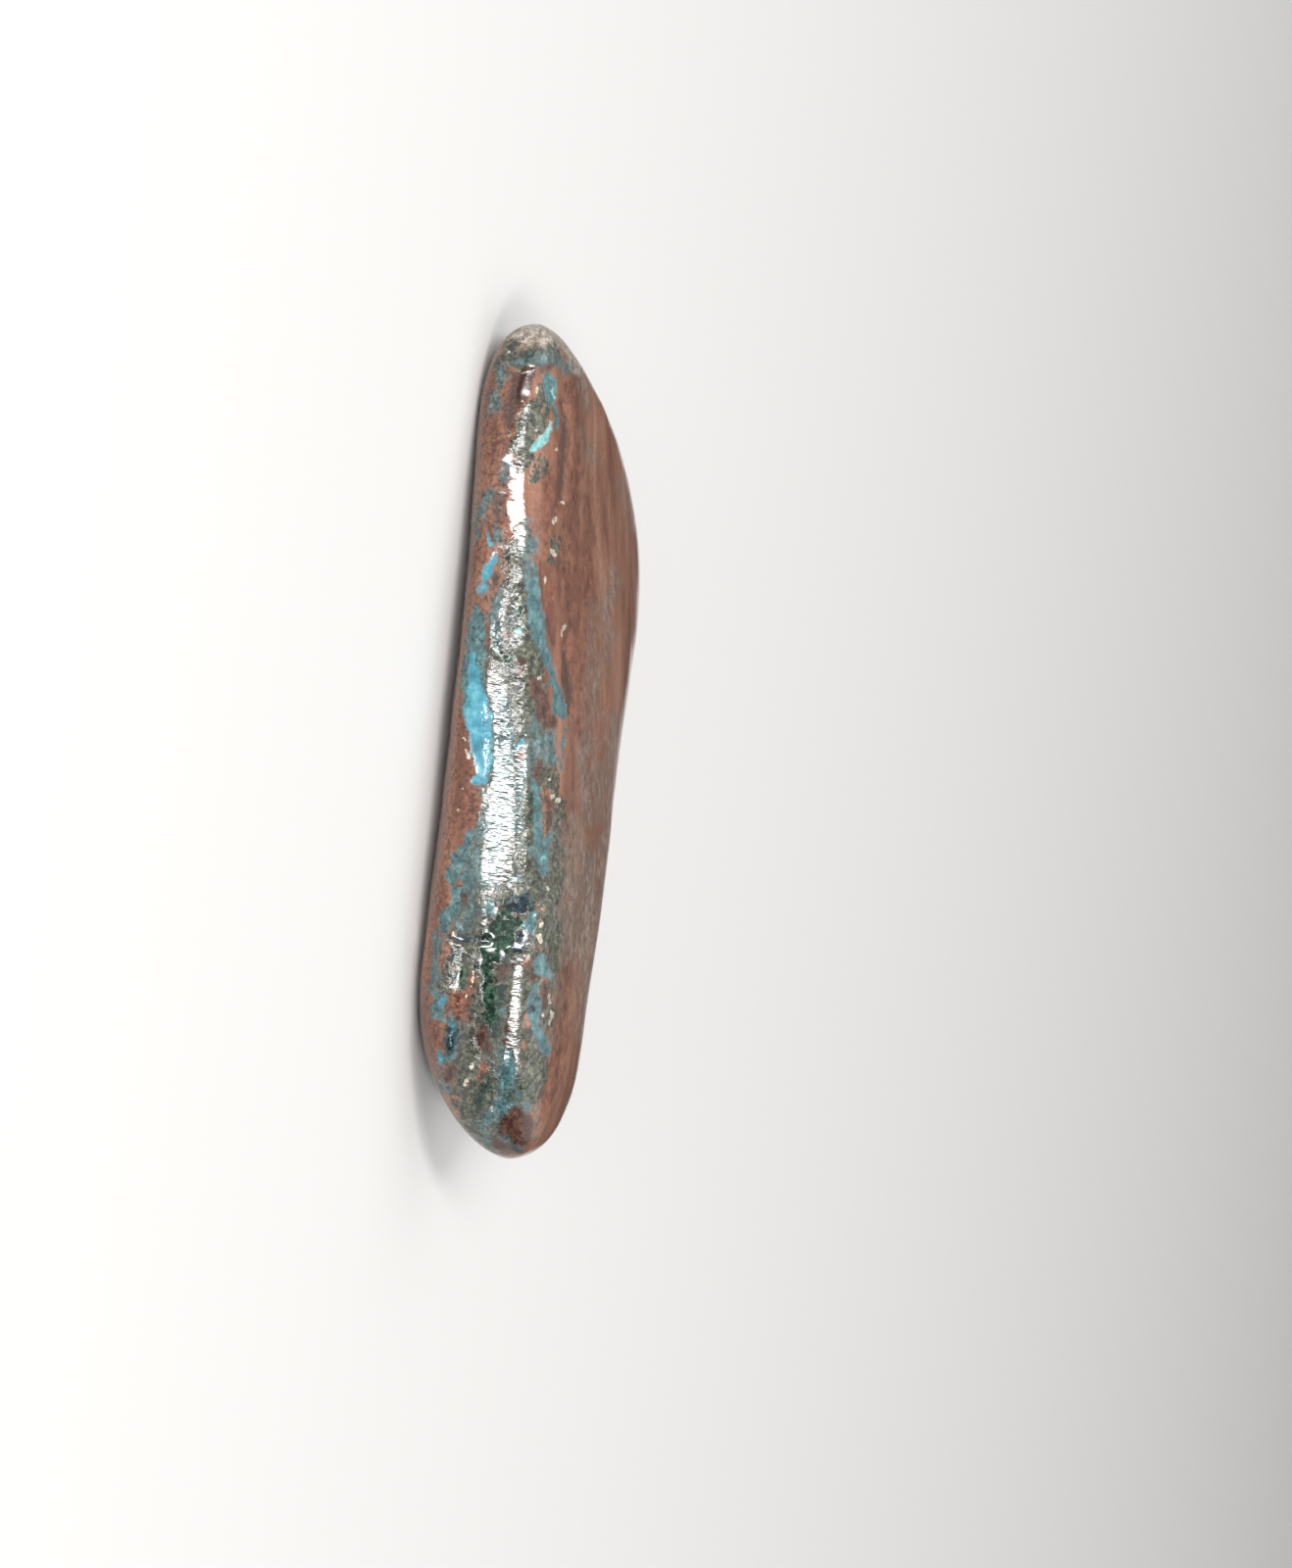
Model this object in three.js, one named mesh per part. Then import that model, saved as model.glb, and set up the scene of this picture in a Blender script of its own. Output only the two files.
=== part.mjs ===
// A tumbled pebble of cuprite and chrysocolla, lying on its broad face: one worn slab, thin and broad at
// one end, thick and narrow at the other. Millimetres, +Z up, X along the stone with the thin end at -X.
// The worn narrow side faces -Y. The origin is under the middle of the stone, on the surface that it lies on.
import * as THREE from "three";

const LENGTH = 48; // thin tip to thick tip
const REST_DEPTH = 0.34; // worn off the underside where the stone lies flat

// The outline from above, [x, y], round the stone from the thin tip along the narrow side and back.
const PLAN = [
  [-24, -7.2],
  [-23.1, -9.4],
  [-18, -11],
  [-9, -11.8],
  [3, -12],
  [13, -11.4],
  [19.5, -9.6],
  [23, -7.2],
  [24, -5.2],
  [23.2, -2.6],
  [19.8, 1.2],
  [13, 2.9],
  [5, 6.2],
  [-3, 10.4],
  [-8.5, 13.2],
  [-12.6, 13.6],
  [-16.6, 10.8],
  [-20, 5],
  [-22.6, -2],
];

// The outline from the narrow side, [x, z], round the stone from the thin tip under it and back over the top.
const SIDE = [
  [-24, 2.9],
  [-23, 1.3],
  [-20, 0],
  [-15, 0],
  [-9, 0.2],
  [-3, 0.3],
  [4, 0.2],
  [12, 0],
  [17, 0.3],
  [20.5, 1.7],
  [22.8, 3.6],
  [24, 5.8],
  [23, 7.4],
  [20.5, 8.2],
  [15, 8.4],
  [8, 8.2],
  [0, 7.4],
  [-8, 6.5],
  [-15, 5.5],
  [-20, 4.9],
  [-23, 4.1],
];

// The narrow side's crest, as a share of the thickness, and how square the side is below it, at each end.
const NARROW = { thin: { crest: 0.5, under: 3.2 }, thick: { crest: 0.36, under: 2.6 } };
const NARROW_TURNS = { from: -13, to: 2 }; // where it turns from the thin end's shape to the thick end's
const RIM_FAR = 0.5; // height of the far rim, as the same share
const MIDDLE = 0.5; // where both faces are fullest, as a share of the width from the narrow side

// How square each other quarter of the section is: 2 is an ellipse, and more is squarer.
const SQUARE = { topNear: 3.3, topFar: 3.6, underFar: 3.2 };

// Low swells that wear has left in the surface: depth in mm, turns along the stone and round it, and phase.
const SWELLS = [
  { depth: 0.11, along: 1.5, round: 2, phase: 0.4 },
  { depth: 0.07, along: 2.5, round: 3, phase: 2.1 },
  { depth: 0.05, along: 4, round: 5, phase: 4 },
];

const SECTIONS = 48; // steps along the stone
const AROUND = 80; // vertices round each section
const TIP_GATHER = 0.7; // 1 gathers the sections towards the tips, and 0 spaces them evenly
const OUTLINE_STEPS = 600;
const ARC_STEPS = 40;
const TIP_MARGIN = 0.002; // the outlines are read this far inside their tips

// A closed smooth outline through the points: a function of x that gives its lowest and highest value there.
function outline(points) {
  const corners = points.map(([x, value]) => new THREE.Vector3(x, value, 0));
  const line = new THREE.CatmullRomCurve3(corners, true, "centripetal").getPoints(OUTLINE_STEPS);
  const thin = Math.min(...line.map((p) => p.x));
  const thick = Math.max(...line.map((p) => p.x));
  const tip = LENGTH / 2;
  const scaled = line.map((p) => [THREE.MathUtils.mapLinear(p.x, thin, thick, -tip, tip), p.y]);
  return (place) => {
    const x = THREE.MathUtils.clamp(place, TIP_MARGIN - tip, tip - TIP_MARGIN);
    const met = [];
    for (let i = 1; i < scaled.length; i++) {
      const [[xa, va], [xb, vb]] = [scaled[i - 1], scaled[i]];
      if ((xa - x) * (xb - x) <= 0 && xa !== xb) {
        met.push(THREE.MathUtils.mapLinear(x, xa, xb, va, vb));
      }
    }
    return [Math.min(...met), Math.max(...met)];
  };
}

const planAt = outline(PLAN);
const sideAt = outline(SIDE);

// A quarter of a squared ellipse in the section, from a rim point to a face point.
function quarter(rim, face, square) {
  return Array.from({ length: ARC_STEPS + 1 }, (_, i) => {
    const turn = (Math.PI / 2) * (i / ARC_STEPS);
    const across = Math.cos(turn) ** (2 / square);
    const up = Math.sin(turn) ** (2 / square);
    return new THREE.Vector2(face.x + (rim.x - face.x) * across, rim.y + (face.y - rim.y) * up);
  });
}

// The section across the stone at x: evenly spaced [y, z] points, from the narrow side's crest over the top.
function section(x) {
  const [near, far] = planAt(x);
  const [under, top] = sideAt(x);
  const turned = THREE.MathUtils.smoothstep(x, NARROW_TURNS.from, NARROW_TURNS.to);
  const crest = THREE.MathUtils.lerp(NARROW.thin.crest, NARROW.thick.crest, turned);
  const underNear = THREE.MathUtils.lerp(NARROW.thin.under, NARROW.thick.under, turned);
  const nearRim = new THREE.Vector2(near, THREE.MathUtils.lerp(under, top, crest));
  const farRim = new THREE.Vector2(far, THREE.MathUtils.lerp(under, top, RIM_FAR));
  const topFace = new THREE.Vector2(THREE.MathUtils.lerp(near, far, MIDDLE), top);
  const underFace = new THREE.Vector2(topFace.x, under);
  const arcs = [
    quarter(nearRim, topFace, SQUARE.topNear),
    quarter(farRim, topFace, SQUARE.topFar).reverse(),
    quarter(farRim, underFace, SQUARE.underFar),
    quarter(nearRim, underFace, underNear).reverse(),
  ];
  const ring = arcs.flatMap((arc) => arc.slice(0, -1));
  return new THREE.Path([...ring, ring[0]]).getSpacedPoints(AROUND).slice(0, AROUND);
}

// How far the swells lift the surface, in mm, at a share along the stone and a share round it.
function lift(along, round) {
  const fade = Math.sin(Math.PI * along);
  const waves = SWELLS.map((swell) => {
    const turns = swell.along * along + swell.round * round;
    return swell.depth * Math.sin(2 * Math.PI * turns + swell.phase);
  });
  return fade * waves.reduce((sum, wave) => sum + wave, 0);
}

// The vertices of the section at a step along the stone, with its swells, cut flat where the stone rests.
function sectionVertices(step) {
  const even = (2 * step) / SECTIONS - 1;
  const gathered = -Math.cos((Math.PI * step) / SECTIONS);
  const x = (LENGTH / 2) * THREE.MathUtils.lerp(even, gathered, TIP_GATHER);
  const ring = section(x);
  const centre = ring.reduce((sum, p) => sum.add(p), new THREE.Vector2()).divideScalar(AROUND);
  return ring.map((p, i) => {
    const out = p.clone().sub(centre).normalize();
    p.addScaledVector(out, lift(step / SECTIONS, i / AROUND));
    return [x, p.x, Math.max(p.y, REST_DEPTH)];
  });
}

// One vertex at a tip, in the middle of the outlines there.
function tipVertex(x) {
  const [near, far] = planAt(x);
  const [under, top] = sideAt(x);
  return [x, (near + far) / 2, (under + top) / 2];
}

// The closed skin of the stone: a fan at each tip, and two triangles between each pair of neighbours.
function stoneGeometry() {
  const vertices = [tipVertex(-LENGTH / 2)];
  for (let step = 1; step < SECTIONS; step++) {
    vertices.push(...sectionVertices(step));
  }
  const thickTip = vertices.push(tipVertex(LENGTH / 2)) - 1;
  const at = (step, i) => 1 + (step - 1) * AROUND + (i % AROUND);
  const faces = [];
  for (let i = 0; i < AROUND; i++) {
    faces.push(0, at(1, i), at(1, i + 1));
    for (let step = 1; step < SECTIONS - 1; step++) {
      faces.push(at(step, i), at(step + 1, i), at(step + 1, i + 1));
      faces.push(at(step, i), at(step + 1, i + 1), at(step, i + 1));
    }
    faces.push(at(SECTIONS - 1, i), thickTip, at(SECTIONS - 1, i + 1));
  }
  const geometry = new THREE.BufferGeometry();
  geometry.setAttribute("position", new THREE.Float32BufferAttribute(vertices.flat(), 3));
  geometry.setIndex(faces);
  geometry.computeBoundingBox();
  const box = geometry.boundingBox;
  const middle = box.getCenter(new THREE.Vector3());
  geometry.translate(-middle.x, -middle.y, -box.min.z);
  geometry.computeVertexNormals();
  return geometry;
}

const cuprite = new THREE.MeshStandardMaterial({ color: 0x6e4a40, roughness: 0.4, metalness: 0 });
const stone = new THREE.Mesh(stoneGeometry(), cuprite);
stone.name = "stone";

const pebble = new THREE.Group();
pebble.add(stone);

export default pebble;
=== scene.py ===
# %% [markdown]
# # A tumbled cuprite stone
# A pebble of red-brown cuprite that carries turquoise chrysocolla and dark green malachite. It was worn
# smooth in a tumbler with others, so it has no sharp edge, a wet-looking polish and over a thousand tiny
# pits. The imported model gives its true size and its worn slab. This lesson copies that slab, gives it a
# finer skin, wears the pits, the crack and the notch into it, and lays the minerals over it as one material.

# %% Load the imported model
import math

import bmesh
import bpy
import numpy as np
from mathutils import Matrix, Vector, noise
from mathutils.bvhtree import BVHTree
from mathutils.kdtree import KDTree


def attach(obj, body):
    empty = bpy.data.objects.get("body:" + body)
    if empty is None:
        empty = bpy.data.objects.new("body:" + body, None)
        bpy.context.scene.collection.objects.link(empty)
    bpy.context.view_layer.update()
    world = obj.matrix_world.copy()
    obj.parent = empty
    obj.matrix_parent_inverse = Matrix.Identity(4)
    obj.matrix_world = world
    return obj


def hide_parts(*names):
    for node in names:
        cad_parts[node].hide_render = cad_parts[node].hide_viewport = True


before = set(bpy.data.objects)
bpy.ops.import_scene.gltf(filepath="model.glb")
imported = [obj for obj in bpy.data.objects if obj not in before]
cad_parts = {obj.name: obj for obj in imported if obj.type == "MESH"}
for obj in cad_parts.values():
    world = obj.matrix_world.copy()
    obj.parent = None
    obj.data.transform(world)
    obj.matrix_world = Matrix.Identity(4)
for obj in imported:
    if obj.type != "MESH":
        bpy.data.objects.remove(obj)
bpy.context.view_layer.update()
MM = 0.001

# %% [markdown]
# ## The camera
# The stone lies on its broad face, and the camera looks at its worn narrow side from a little above. It
# could be aimed with a Track To constraint, but its three axes are built here from two angles instead,
# because they are needed again for drawing on the stone. The camera is rolled, so that the stone stands
# upright in the picture with its thin end on top.

# %% Place the camera
LOOK_DOWN = math.radians(14)  # above the plane of the broad face
LEAN = math.radians(6.2)  # how far the stone leans in the picture
SENSOR_WIDTH = 36  # mm
CLIP_SPAN = 50  # the camera sees from its distance / 50 to its distance * 50
DISTANCE = 265.5 * MM
PICTURE = Vector((1318, 1600))
STONE_AT = Vector((567, 762))  # where the middle of the stone shows in that picture
FOCAL = 4600  # in the picture's pixels
AIM = Vector((0, 0, 4 * MM))

forward = Vector((0, math.cos(LOOK_DOWN), -math.sin(LOOK_DOWN)))
along = Vector((1, 0, 0))
rise = along.cross(forward)
right = rise * math.cos(LEAN) - along * math.sin(LEAN)
up = -along * math.cos(LEAN) - rise * math.sin(LEAN)
off_centre = (STONE_AT - PICTURE / 2) * DISTANCE / FOCAL
eye = AIM - forward * DISTANCE - right * off_centre.x + up * off_centre.y

camera_data = bpy.data.cameras.new("camera")
camera_data.sensor_width = SENSOR_WIDTH
camera_data.lens = SENSOR_WIDTH * FOCAL / PICTURE.y  # the sensor's width spans the picture's longer side
camera_data.clip_start = DISTANCE / CLIP_SPAN
camera_data.clip_end = DISTANCE * CLIP_SPAN
camera = bpy.data.objects.new("camera", camera_data)
camera.matrix_world = Matrix.Translation(eye) @ Matrix((right, up, -forward)).transposed().to_4x4()
bpy.context.scene.collection.objects.link(camera)
bpy.context.scene.camera = camera
print("camera stands in mm at", [round(v / MM) for v in eye], "with a lens of", round(camera_data.lens, 1))

# %% [markdown]
# ## Floor and light
# A plain pale sheet carries the stone. One big soft lamp would light it too, but its reflection would lie
# over the whole polish like a grey veil. So the room is dim, and dimmest near the floor, and the minerals
# keep their deep colours. Three small bright lamps stand round the camera, and their reflections are the
# bright line along the narrow side. Two large dim lamps fill in from the stone's ends.

# %% A helper that adds a node and fills or links its inputs
def add_node(tree, kind, inputs=None, **settings):
    """A new node, with each input linked to a socket or set to a value."""
    made = tree.nodes.new("ShaderNode" + kind)
    for name, value in settings.items():
        setattr(made, name, value)
    for name, value in (inputs or {}).items():
        if isinstance(value, bpy.types.NodeSocket):
            tree.links.new(value, made.inputs[name])
        else:
            made.inputs[name].default_value = value
    return made


def tint(red, green, blue):
    """A screen colour of 0 to 255, turned by the sRGB formula into the linear colour a shader takes."""
    parts = [v / 255 for v in (red, green, blue)]
    return (*[v / 12.92 if v < 0.04 else ((v + 0.055) / 1.055) ** 2.4 for v in parts], 1)


print("a screen grey of 128 is a linear", round(tint(128, 128, 128)[0], 3))

# %% Lay the floor
FLOOR_SIZE = 6.0  # m
PAPER_ROUGHNESS = 0.8
PALE_GREY = tint(206, 205, 203)
paper = bpy.data.materials.new("pale_paper")
paper.use_nodes = True
paper_shader = paper.node_tree.nodes["Principled BSDF"]
paper_shader.inputs["Base Color"].default_value = PALE_GREY
paper_shader.inputs["Roughness"].default_value = PAPER_ROUGHNESS

floor_mesh = bpy.data.meshes.new("floor")
floor_shape = bmesh.new()
bmesh.ops.create_grid(floor_shape, x_segments=1, y_segments=1, size=FLOOR_SIZE / 2)
floor_shape.to_mesh(floor_mesh)
floor_shape.free()
floor = bpy.data.objects.new("floor", floor_mesh)
floor_mesh.materials.append(paper)
bpy.context.scene.collection.objects.link(floor)
print("the floor is", FLOOR_SIZE, "m wide")

# %% Hang the lamps
LAMP_DISTANCE = 0.8  # m
LAMPS = [
    # name, degrees round from the front, degrees above the stone, width and height in m, glow
    ("lamp for the thin end", -22, 38, 0.14, 0.48, 24),
    ("lamp for the crest", -2, 12, 0.16, 0.32, 23),
    ("lamp for the thick end", 28, 31, 0.2, 0.24, 20),
    ("fill from the thin end", -95, 50, 0.8, 0.8, 0.6),
    ("fill from the thick end", 120, 58, 0.8, 0.8, 0.6),
]


def soft_lamp(name, turn, lift, width, height, glow):
    """A lamp that faces the stone. Its glow is the radiance that the polish mirrors."""
    turn = math.radians(turn)
    lift = math.radians(lift)
    way = Vector((math.sin(turn) * math.cos(lift), -math.cos(turn) * math.cos(lift), math.sin(lift)))
    data = bpy.data.lights.new(name, "AREA")
    data.shape = "RECTANGLE"
    data.size = width
    data.size_y = height
    data.energy = glow * math.pi * width * height
    lamp = bpy.data.objects.new(name, data)
    lamp.location = AIM + LAMP_DISTANCE * way
    lamp.rotation_euler = way.to_track_quat("Z", "Y").to_euler()
    bpy.context.scene.collection.objects.link(lamp)
    print(name, "gives", round(data.energy, 1), "W")


for lamp_row in LAMPS:
    soft_lamp(*lamp_row)

# %% Light the room
LOW_GLOW = 0.12
HIGH_GLOW = 0.6
LOW_UP_TO = 0.1  # measured as the upward part of a direction of length 1
HIGH_FROM = 0.9


def ranged(tree, value, start, end, low=0.0, high=1.0, curve="LINEAR"):
    """A number that goes from low, where the value is start, to high, where it is end."""
    inputs = {"Value": value, "From Min": start, "From Max": end, "To Min": low, "To Max": high}
    return add_node(tree, "MapRange", inputs, interpolation_type=curve).outputs["Result"]


room = bpy.data.worlds.new("room")
room.use_nodes = True
sky = room.node_tree
direction = add_node(sky, "TexCoord").outputs["Generated"]
upwards = add_node(sky, "SeparateXYZ", {"Vector": direction}).outputs["Z"]
glow = ranged(sky, upwards, LOW_UP_TO, HIGH_FROM, LOW_GLOW, HIGH_GLOW, curve="SMOOTHSTEP")
sky.nodes["Background"].inputs["Color"].default_value = (1, 1, 1, 1)
sky.links.new(glow, sky.nodes["Background"].inputs["Strength"])
bpy.context.scene.world = room
bpy.context.scene.view_settings.view_transform = "Standard"
print("the room glows from", LOW_GLOW, "at the floor to", HIGH_GLOW, "overhead")

# %% [markdown]
# ## The stone's skin
# The skin of a tumbled stone is smooth all over, with no seam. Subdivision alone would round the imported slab,
# but it leaves small faces at the ends and large ones on the flats. So the slab is welded, rounded by
# subdivision and then remeshed in small even cells. Every part of the stone then has the same fine skin to
# wear, and a Smooth modifier eases away the steps that the cells leave.

# %% Copy, weld and refine the slab
# Two triangles become one face if they bend, and its corners stray from square, by at most QUAD_ANGLE.
WELD = 0.001 * MM
QUAD_ANGLE = math.radians(60)
ROUNDING_LEVELS = 2
CELL = 0.17 * MM
EASING_ROUNDS = 16
EASING_STRENGTH = 0.5


def finished_mesh(piece):
    """The piece's mesh with its modifiers made real."""
    return bpy.data.meshes.new_from_object(piece.evaluated_get(bpy.context.evaluated_depsgraph_get()))


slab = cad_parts["stone"]
welding = bmesh.new()
welding.from_mesh(slab.data)
bmesh.ops.remove_doubles(welding, verts=welding.verts, dist=WELD)
bmesh.ops.join_triangles(
    welding, faces=welding.faces, angle_face_threshold=QUAD_ANGLE, angle_shape_threshold=QUAD_ANGLE
)
welded = bpy.data.meshes.new("welded")
welding.to_mesh(welded)
welding.free()
if "custom_normal" in welded.attributes:
    welded.attributes.remove(welded.attributes["custom_normal"])

stone = bpy.data.objects.new("pebble", welded)
bpy.context.scene.collection.objects.link(stone)
rounding = stone.modifiers.new("rounding", "SUBSURF")
rounding.levels = ROUNDING_LEVELS
rounding.render_levels = ROUNDING_LEVELS
cells = stone.modifiers.new("cells", "REMESH")
cells.mode = "VOXEL"
cells.voxel_size = CELL
cells.use_smooth_shade = True
easing = stone.modifiers.new("easing", "SMOOTH")
easing.factor = EASING_STRENGTH
easing.iterations = EASING_ROUNDS
fine = finished_mesh(stone)
stone.modifiers.clear()
stone.data = fine
fine.name = "pebble"
print("welded faces:", len(welded.polygons), " skin faces:", len(fine.polygons))
print("triangles:", sum(len(p.vertices) - 2 for p in fine.polygons))

# %% Read the skin into arrays, in millimetres
count = len(fine.vertices)
skin = np.empty(3 * count)
fine.vertices.foreach_get("co", skin)
skin = skin.reshape(-1, 3) / MM
outward = np.empty(3 * count)
fine.vertex_normals.foreach_get("vector", outward)
outward = outward.reshape(-1, 3)
towards_eye = np.array(eye) / MM - skin
towards_eye /= np.linalg.norm(towards_eye, axis=1, keepdims=True)
facing = np.sum(outward * towards_eye, axis=1)
print("points of the skin:", count, " facing the camera:", int((facing > 0).sum()))

# %% [markdown]
# ## A sheet to draw on
# The minerals lie where they happened to grow, so no pattern can place them. They could be painted on a
# texture, but strokes written as numbers are easy to change and are as sharp as the mesh. They are drawn on
# a flat sheet that stands against the narrow side, square to the line of sight. A place on it is millimetres
# along the stone and millimetres up from the sheet's middle. Each stroke is a chain of round dabs: place
# along, height, and the dab's radius. Where the skin is seen well, the distance to a stroke is measured in
# the sheet, so that the mark looks as it is drawn. Where the skin turns away, the stroke is pressed through
# the sheet onto it, and wraps round it.

# %% Helpers that press a stroke and measure how far each point lies inside it
SHEET_AT = Vector((0, -12 * MM, 4 * MM))
REACH = 2.0  # mm: no measure goes further outside a stroke than this
TINY = 1e-9

skin_shape = bmesh.new()
skin_shape.from_mesh(fine)
skin_tree = BVHTree.FromBMesh(skin_shape)
skin_shape.free()


def press(place, height):
    """The point of the skin, in mm, that lies behind a place of the sheet."""
    on_sheet = SHEET_AT + along * place * MM + rise * height * MM
    hit = skin_tree.ray_cast(eye, (on_sheet - eye).normalized())[0]
    if hit is None:
        hit = skin_tree.find_nearest(on_sheet)[0]
    return np.array(hit) / MM


def inside(points, strokes):
    """How far each point lies inside the strokes, in mm: below zero outside."""
    best = np.full(len(points), -REACH)
    for stroke in strokes:
        dabs = stroke if len(stroke) > 1 else stroke * 2  # a lone dab starts and ends the stroke
        for (start, start_radius), (end, end_radius) in zip(dabs, dabs[1:]):
            run = end - start
            share = np.clip((points - start) @ run / max(run @ run, TINY), 0, 1)
            gap = np.linalg.norm(points - start - share[:, None] * run, axis=1)
            np.maximum(best, start_radius + share * (end_radius - start_radius) - gap, out=best)
    return best


def pressed(strokes):
    """The strokes with each dab's place on the skin."""
    return [[(press(place, height), radius) for place, height, radius in stroke] for stroke in strokes]


def drawn(strokes):
    """The strokes with each dab's place on the sheet."""
    return [[(np.array((place, height)), radius) for place, height, radius in stroke] for stroke in strokes]


def soft_step(low, high, value):
    """Rises smoothly from 0 at low to 1 at high."""
    share = np.clip((value - low) / (high - low), 0, 1)
    return share * share * (3 - 2 * share)


print("the sheet's middle is pressed onto the skin in mm at", press(0, 0).round(1))

# %% Find each point's place on the sheet
# Each point is carried along its line of sight onto the sheet. Each pair of numbers is where a share leaves
# 0 and where it reaches 1. The upper face is told by how far a point's normal rises, and the rest by how
# squarely the point faces the camera.
UPPER_FACE = (0.35, 0.75)
OUT_OF_SIGHT = (0.05, -0.3)
IN_SIGHT = (0.1, 0.3)
UPPER_FACE_IN_SIGHT = (-0.1, 0.1)
sheet_depth = (SHEET_AT - eye).dot(forward) / MM
from_eye = skin - np.array(eye) / MM
through = from_eye * (sheet_depth / (from_eye @ np.array(forward)))[:, None] + np.array(eye - SHEET_AT) / MM
sheet = np.stack([through @ np.array(along), through @ np.array(rise)], axis=1)
on_top = soft_step(*UPPER_FACE, outward[:, 2])
unseen = soft_step(*OUT_OF_SIGHT, facing)
seen_well = np.maximum(soft_step(*IN_SIGHT, facing), on_top * soft_step(*UPPER_FACE_IN_SIGHT, facing))
print("the sheet shows the stone from", sheet.min(axis=0).round(1), "to", sheet.max(axis=0).round(1))

# %% Noise that makes the drawn edges wander
FADING = 1.0  # how fast the finer octaves of the noise fade
FINER = 2.0  # how much finer each octave is than the one before


def lumps(size, octaves=3, stretch=(1, 1, 1), shift=0.0):
    """Smooth noise of about -1 to 1 at every point of the skin, with lumps of about size mm."""
    points = skin / (np.array(stretch) * size) + shift
    return np.array([noise.fractal(p, FADING, FINER, octaves) for p in points.tolist()])


WANDER = 0.1  # mm
WANDER_SIZE = 0.7
WANDER_SHIFTS = (10.0, 20.0, 30.0)
wander_steps = [lumps(WANDER_SIZE, shift=shift) for shift in WANDER_SHIFTS]
wandered = skin + WANDER * np.stack(wander_steps, axis=1)
wandered_sheet = sheet + WANDER * np.stack(wander_steps[:2], axis=1)


def drawn_inside(strokes):
    """How far each point of the skin lies inside strokes that are drawn on the sheet, in mm."""
    in_sheet = inside(wandered_sheet, drawn(strokes))
    in_space = inside(wandered, pressed(strokes))
    return in_space + (in_sheet - in_space) * seen_well


print("edges wander by up to", round(float(WANDER * max(abs(s).max() for s in wander_steps)), 2), "mm")

# %% [markdown]
# ## Where the minerals lie
# Chrysocolla fills old cracks as crisp turquoise patches, and as a thin blue-grey film where it was worn
# through. Between them lie crumbly grey-green grains, dark malachite in the notch, windows of clean maroon
# cuprite, rust, and a few cream specks. The brown has a redder umber in it, and a grey haze on the upper
# face. Some strokes are painted light and shade: the dark maroon lines in the two folds and along the upper
# edge of the stripe are painted shade, a paler turquoise beside the bright line is lightened by painted
# sheen, and the pale cap of the thin tip carries painted glare. Noise alone would spread all of them evenly,
# and the eye would miss the long stripe, the great patch and the notch at once, so each mineral is drawn as
# strokes on the sheet.

# %% Draw the turquoise, bright where it is thick and teal where it is worn
TURQUOISE = [
    # two flecks under the crest
    [(-11.5, -1.9, 0.08), (-11.2, -1.85, 0.1), (-10.8, -1.75, 0.1)],
    [(-10.3, -1.4, 0.1), (-10.0, -1.5, 0.16), (-9.5, -1.7, 0.22), (-9.0, -1.82, 0.22), (-8.5, -1.9, 0.17),
     (-7.9, -2.03, 0.1)],
    # the great patch under the crest, from where it grows bright
    [(-4.6, -2.1, 0.12), (-3.8, -2.0, 0.26), (-3.2, -1.9, 0.36), (-2.6, -1.8, 0.5), (-1.8, -1.5, 0.66),
     (-1.0, -1.35, 0.74), (-0.2, -1.2, 0.68), (0.5, -1.05, 0.6), (1.1, -0.9, 0.5), (1.7, -0.75, 0.4),
     (2.3, -0.8, 0.35), (2.5, -1.15, 0.25)],
    # along the crest, under its bright line
    [(-0.3, 1.3, 0.12), (0.0, 1.3, 0.18), (0.25, 1.05, 0.12)],
    # the rim of the thick end, from below
    [(14.8, -1.5, 0.16), (15.1, -1.7, 0.2)],
    [(16.2, -0.95, 0.14), (16.8, -0.75, 0.18), (17.4, -0.75, 0.16)],
    [(17.95, -1.45, 0.14), (18.2, -1.45, 0.18)],
]
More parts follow.
